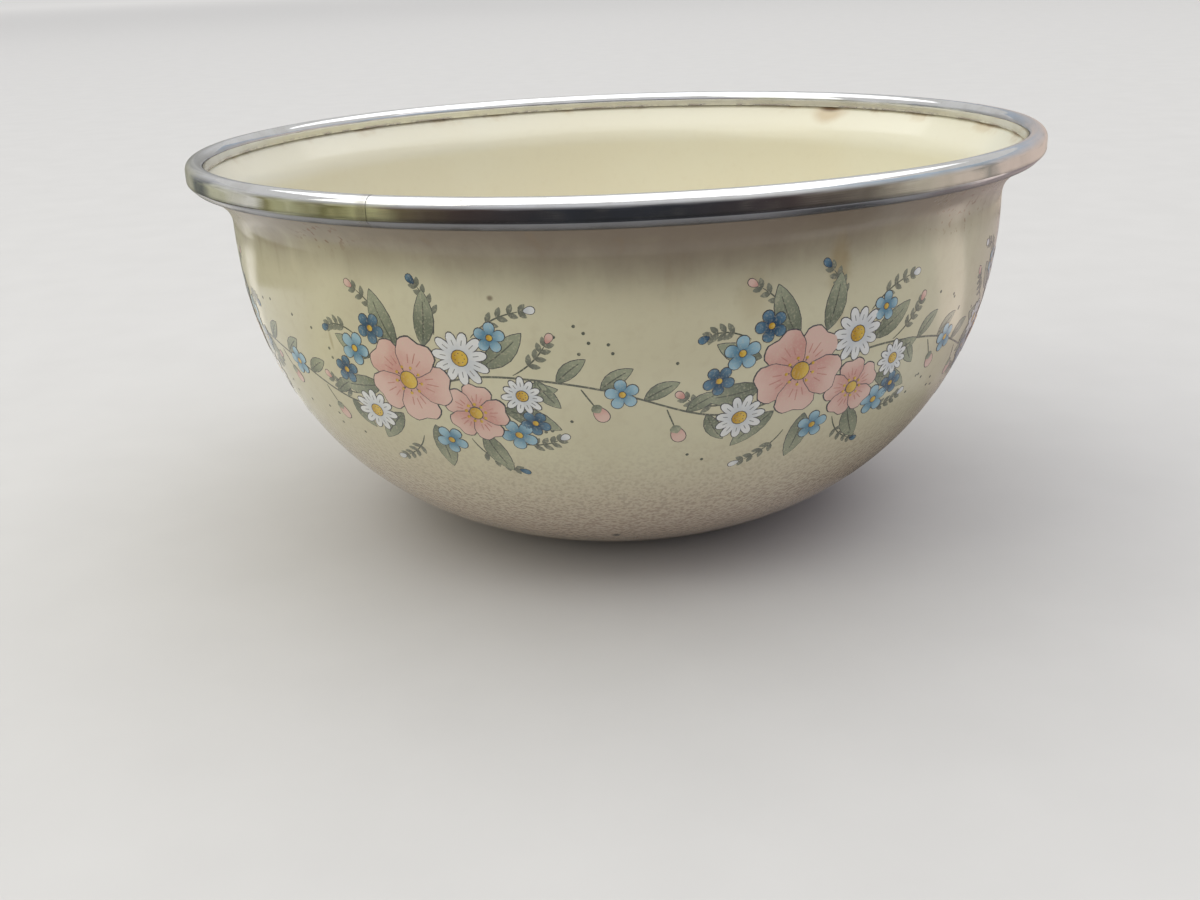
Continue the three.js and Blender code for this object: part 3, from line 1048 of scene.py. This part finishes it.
# %% Inks: colour at the root, colour at the tip, and how thin the pigment lies
INK_COLOURS = {
    "outline": ((84, 82, 84), (72, 72, 76), 0.10),
    "blush": ((198, 148, 136), (214, 182, 168), 0.12),
    "blush_vein": ((178, 120, 110), (194, 142, 130), 0.10),
    "white": ((198, 201, 202), (220, 220, 216), 0.06),
    "crease": ((120, 122, 118), (140, 142, 138), 0.15),
    "mustard": ((184, 142, 48), (212, 178, 78), 0.10),
    "sky_blue": ((92, 132, 152), (150, 182, 194), 0.10),
    "dusk_blue": ((52, 78, 100), (92, 124, 144), 0.10),
    "leaf": ((112, 118, 100), (150, 154, 130), 0.14),
    "sprig_leaf": ((108, 110, 98), (128, 130, 114), 0.16),
    "stem": ((86, 90, 80), (102, 104, 92), 0.14),
}
for ink, (root, tip, thin) in INK_COLOURS.items():
    wire = new_finish("ink_" + ink, print_pieces[ink])
    place = own_place(wire)
    height = axis(place, "Z") * 1000.0
    drawn = wire.node("ShaderNodeUVMap", {"uv_map": "surface"})
    along, across = axis(drawn, "X"), axis(drawn, "Y")
    shade = wire.node("ShaderNodeAttribute", {"attribute_name": "shade"}, {}, "Fac")
    wash = noise(place, 3.5, 3.0)
    sieve = noise(place, 0.5, 1.0)
    fade = ease(along + (wash - 0.5) * 0.5 + (shade - 0.5) * 0.35 - 0.12 * across * across, 0.05, 0.85)
    tint = blend(fade, root, tip)
    tint = blend(ease(sieve, 0.48, 0.75) * (2.2 * thin), tint, (206, 197, 168))
    shine = 0.11 + 0.06 * wash
    close_finish(wire, Base_Color=tint, Roughness=shine, IOR=GLASS_IOR, Normal=peel(place, height))
print("inks:", len(INK_COLOURS))

# %% [markdown]
# ## The table and the light
#
# The bowl stands on a plain pale table, under a large soft light from above and slightly behind, as in a
# small studio. Far away the table glows faintly, so that it ends in a pale tone. Two soft boxes light the
# sides: a large warm one on the left, and a small dim rosy one on the right. Polished metal and glossy
# enamel show whatever stands round them, so a card bent round the bowl gives them something to mirror. Its
# upright part is dark in the middle, olive to the left, rosy to the right and paler upwards. Its foot lies
# on the table with pale and darker patches, which the glossy wall mirrors. The card is only seen by
# reflections, as it would stand outside the picture.

# %% Table
TABLE_REACH = 80.0
TABLE_DROP = 0.0002
TABLE_LINES = 13


def stage_piece(name, grid):
    """A sheet of the studio, not of the bowl: quads between the points of a (rows, columns, 3) grid."""
    here = np.arange(grid[..., 0].size).reshape(grid.shape[:2])
    faces = faces_of(here[:-1, :-1], here[1:, :-1], here[1:, 1:], here[:-1, 1:])
    mesh = bpy.data.meshes.new(name)
    mesh.from_pydata(grid.reshape(-1, 3).tolist(), [], faces.tolist())
    piece = placed(name, mesh)
    return piece


reach = np.linspace(-TABLE_REACH, TABLE_REACH, TABLE_LINES)
table = stage_piece("table", columns(reach[:, None], reach, -TABLE_DROP))
wire = new_finish("table_finish", table)
place = own_place(wire)
tint = blend(noise(place, 30.0, 4.0), (200, 198, 193), (207, 205, 200))
far = ease(place.node("ShaderNodeVectorMath", {"operation": "LENGTH"}, {0: place}, "Value"), 4.5, 15.0)
glow = blend(far, (0, 0, 0), (152, 151, 148))
close_finish(
    wire, Base_Color=tint, Roughness=0.9, Specular_IOR_Level=0.0, Emission_Strength=1.0, Emission_Color=glow
)
print("table:", TABLE_LINES, "lines each way")

# %% Card that the rim and the wall mirror
card_bearing = np.radians(np.linspace(-180, 180, 145))[:, None]
card_top = 0.26 + 0.19 * np.exp(-(((np.degrees(card_bearing) - 22.0) / 66.0) ** 4))
card_out = np.array([0.065, 0.15, 0.26, 0.36, 0.45, 0.45, 0.45, 0.45, 0.45])
card_share = np.array([0.0, 0.0, 0.0, 0.0, 0.0, 0.25, 0.5, 0.75, 1.0])
card_rise = np.maximum(0.002, card_share * card_top)
card_grid = columns(card_out * np.sin(card_bearing), -card_out * np.cos(card_bearing), card_rise)
card = stage_piece("rim_card", card_grid)
card.visible_camera = False
card.visible_diffuse = False
card.visible_shadow = False
print("card: top", card_top.min().round(3), "to", card_top.max().round(3), "m")

# %% [markdown]
# The card's colour follows a ramp of bearings, with the camera at 0. Its foot is bare near the bowl and at
# both sides. Each patch on it is a stretch of bearings, some also bounded by the way from the axis, and two
# of them give off a little light.

# %% Upright part of the card: bearing in degrees and colour
CARD_STOPS = [
    (-180, (176, 174, 170)), (-150, (150, 150, 142)), (-134, (200, 198, 172)), (-121, (104, 110, 106)),
    (-110, (220, 218, 182)), (-97, (255, 252, 236)), (-87, (148, 142, 82)), (-78, (214, 212, 166)),
    (-67, (128, 122, 70)), (-58, (226, 222, 160)), (-48, (124, 110, 78)), (-34, (78, 62, 55)),
    (-12, (44, 46, 53)), (12, (42, 46, 55)), (38, (74, 60, 58)), (56, (124, 114, 102)),
    (72, (196, 186, 168)), (88, (222, 206, 192)), (95, (150, 146, 138)), (103, (222, 204, 192)),
    (135, (228, 208, 196)), (180, (176, 174, 170)),
]
wire = new_finish("card_finish", card)
place = own_place(wire)
card_x, card_y, card_z = axis(place, "X"), axis(place, "Y"), axis(place, "Z") * 1000.0
bearing = card_x.reckon("ARCTAN2", card_x, -1.0 * card_y) * (180.0 / math.pi)
to_side = bearing.reckon("ABSOLUTE", bearing)
nap = noise(place, 70.0, 3.0)
stops = [((degrees + 180) / 360, paint(*colour)) for degrees, colour in CARD_STOPS]
swept = (bearing + (nap - 0.5) * 26.0 + 180.0) / 360.0
card_tint = wire.node("ShaderNodeValToRGB", {"stops": stops}, {0: swept})
card_tint = blend(ease(noise(place, 45.0, 3.0), 0.52, 0.72) * 0.3, card_tint, (140, 132, 120))
low = ease(card_z + (nap - 0.5) * 40.0, 55.0, 25.0) * ease(to_side, 80.0, 52.0)
card_tint = blend(low * 0.45, card_tint, (52, 52, 50))
upper = blend(ease(bearing, 36.0, 74.0), (250, 250, 250), (184, 202, 222))
card_tint = blend(ease(card_z + (nap - 0.5) * 110.0, 50.0, 330.0) * 0.9, card_tint, upper)
print("card ramp:", len(stops), "stops")


# %% Foot of the card
def within(value, start, full, last, end):
    """1 from full to last, and fading to 0 towards start and end."""
    return ease(value, start, full) * ease(value, end, last)


def larger(first, second):
    """The larger of two values at each place."""
    return first.reckon("MAXIMUM", first, second)


from_axis = (card_x * card_x + card_y * card_y) ** 0.5 * 1000.0
flat = ease(card_z, 12.0, 3.0)
bare = larger(ease(from_axis, 190.0, 142.0), ease(to_side, 74.0, 94.0) * flat)
olive = within(bearing, -121.0, -117.0, -87.0, -80.0) * ease(from_axis, 300.0, 322.0)
nearer = ease(from_axis, 190.0, 160.0) * ease(bearing, 78.0, 92.0)
shaded = larger(ease(bearing, 103.0, 109.0), nearer) * ease(bearing, 176.0, 152.0)
under = within(bearing, 30.0, 62.0, 84.0, 118.0) * ease(from_axis, 128.0, 110.0)
bare_tint = layered(
    blend(olive, (204, 202, 197), (84, 78, 44)),
    (shaded, (166, 152, 147)),
    (within(bearing, -176.0, -158.0, -133.0, -127.0), (164, 160, 144)),
    (under * 0.9, (40, 38, 42)),
)
gleam = within(bearing, -132.0, -127.0, -121.0, -118.0) * flat
rosy = within(bearing, 87.0, 91.0, 103.0, 107.0) * ease(from_axis, 160.0, 190.0) * flat
glow = blend(gleam * 0.4, (0, 0, 0), (255, 244, 224))
glow = blend(rosy, glow, (255, 222, 202))
tint = blend(bare, card_tint, bare_tint)
close_finish(wire, Base_Color=tint, Roughness=0.9, Emission_Strength=0.8, Emission_Color=glow)
print("card finish:", len(wire.tree.nodes), "nodes")


# %% Soft boxes
def softbox(name, place, target, width, height, brightness, tint):
    """An area light facing its target; pi * brightness * area watts give its face that brightness."""
    data = bpy.data.lights.new(name, "AREA")
    data.shape = "RECTANGLE"
    data.size = width
    data.size_y = height
    data.energy = math.pi * brightness * width * height
    data.color = tint
    light = placed(name, data)
    light.location = place
    light.rotation_euler = (Vector(target) - Vector(place)).to_track_quat("-Z", "Y").to_euler()
    light.visible_camera = False


BOWL_MIDDLE = (0.0, 0.0, 0.06)
softbox("overhead_box", (0.0, 0.90, 6.60), (0.0, 0.90, 0.0), 13.2, 12.0, 1.08, (0.985, 0.99, 1.0))
softbox("left_box", (-1.20, -0.57, 0.84), BOWL_MIDDLE, 1.00, 1.2, 0.9, (1.0, 0.99, 0.88))
softbox("right_box", (1.20, -0.38, 0.64), BOWL_MIDDLE, 0.45, 0.8, 0.5, (1.0, 0.92, 0.96))
print("lights:", [item.name for item in bpy.data.lights])

# %% [markdown]
# The walls light the bowl too, more from the left and from above. The eye and glossy surfaces see a plain
# pale wall in their place, so the background stays even.

# %% Walls
studio_world = bpy.data.worlds.new("studio_walls")
studio_world.use_nodes = True
studio_world.node_tree.nodes.clear()
wire = Wire(studio_world.node_tree)
toward = wire.node("ShaderNodeTexCoord", {}, {}, "Generated")
rightward = ease(axis(toward, "X"), -0.9, 0.9)
low_wall = blend(rightward, (178, 176, 169), (122, 121, 134))
high_wall = blend(rightward, (255, 255, 251), (198, 202, 224))
walls = blend(ease(axis(toward, "Z"), 0.0, 0.32), low_wall, high_wall)
by_eye = wire.node("ShaderNodeLightPath", {}, {}, "Is Camera Ray")
by_gloss = wire.node("ShaderNodeLightPath", {}, {}, "Is Glossy Ray")
walls = blend(larger(by_eye, by_gloss), walls, (236, 235, 233))
glow = wire.node("ShaderNodeBackground", {}, {"Color": walls, "Strength": 0.80})
world_output = studio_world.node_tree.nodes.new("ShaderNodeOutputWorld")
studio_world.node_tree.links.new(glow.socket, world_output.inputs["Surface"])
STUDIO.world = studio_world
STUDIO.view_settings.view_transform = "Standard"
print("walls:", len(studio_world.node_tree.nodes), "nodes")

# %% [markdown]
# ## The camera
#
# The photographer stood close, a little above the rim, and held the camera slightly tilted. These numbers
# come from fitting a pinhole camera to the ellipse of the rim and the outline of the wall.

# %% Camera: yaw, pitch and roll in degrees, and its place in metres
CAMERA_TURNS = (-1.094, -19.654, -2.407)
CAMERA_PLACE = (0.0, -0.365751, 0.141857)

yaw, pitch, roll = (math.radians(value) for value in CAMERA_TURNS)
forward = Vector((math.sin(yaw) * math.cos(pitch), math.cos(yaw) * math.cos(pitch), math.sin(pitch)))
level = Vector((math.cos(yaw), -math.sin(yaw), 0.0))
upward = level.cross(forward)
right = level * math.cos(roll) + upward * math.sin(roll)
top = upward * math.cos(roll) - level * math.sin(roll)
lens = bpy.data.cameras.new("camera")
lens.sensor_width = 36.0
lens.lens = 40.5
camera = placed("camera", lens)
turned = Matrix((right, top, -forward)).transposed().to_4x4()
camera.matrix_world = Matrix.Translation(CAMERA_PLACE) @ turned
STUDIO.camera = camera
print("camera at", tuple(round(value, 4) for value in camera.location))
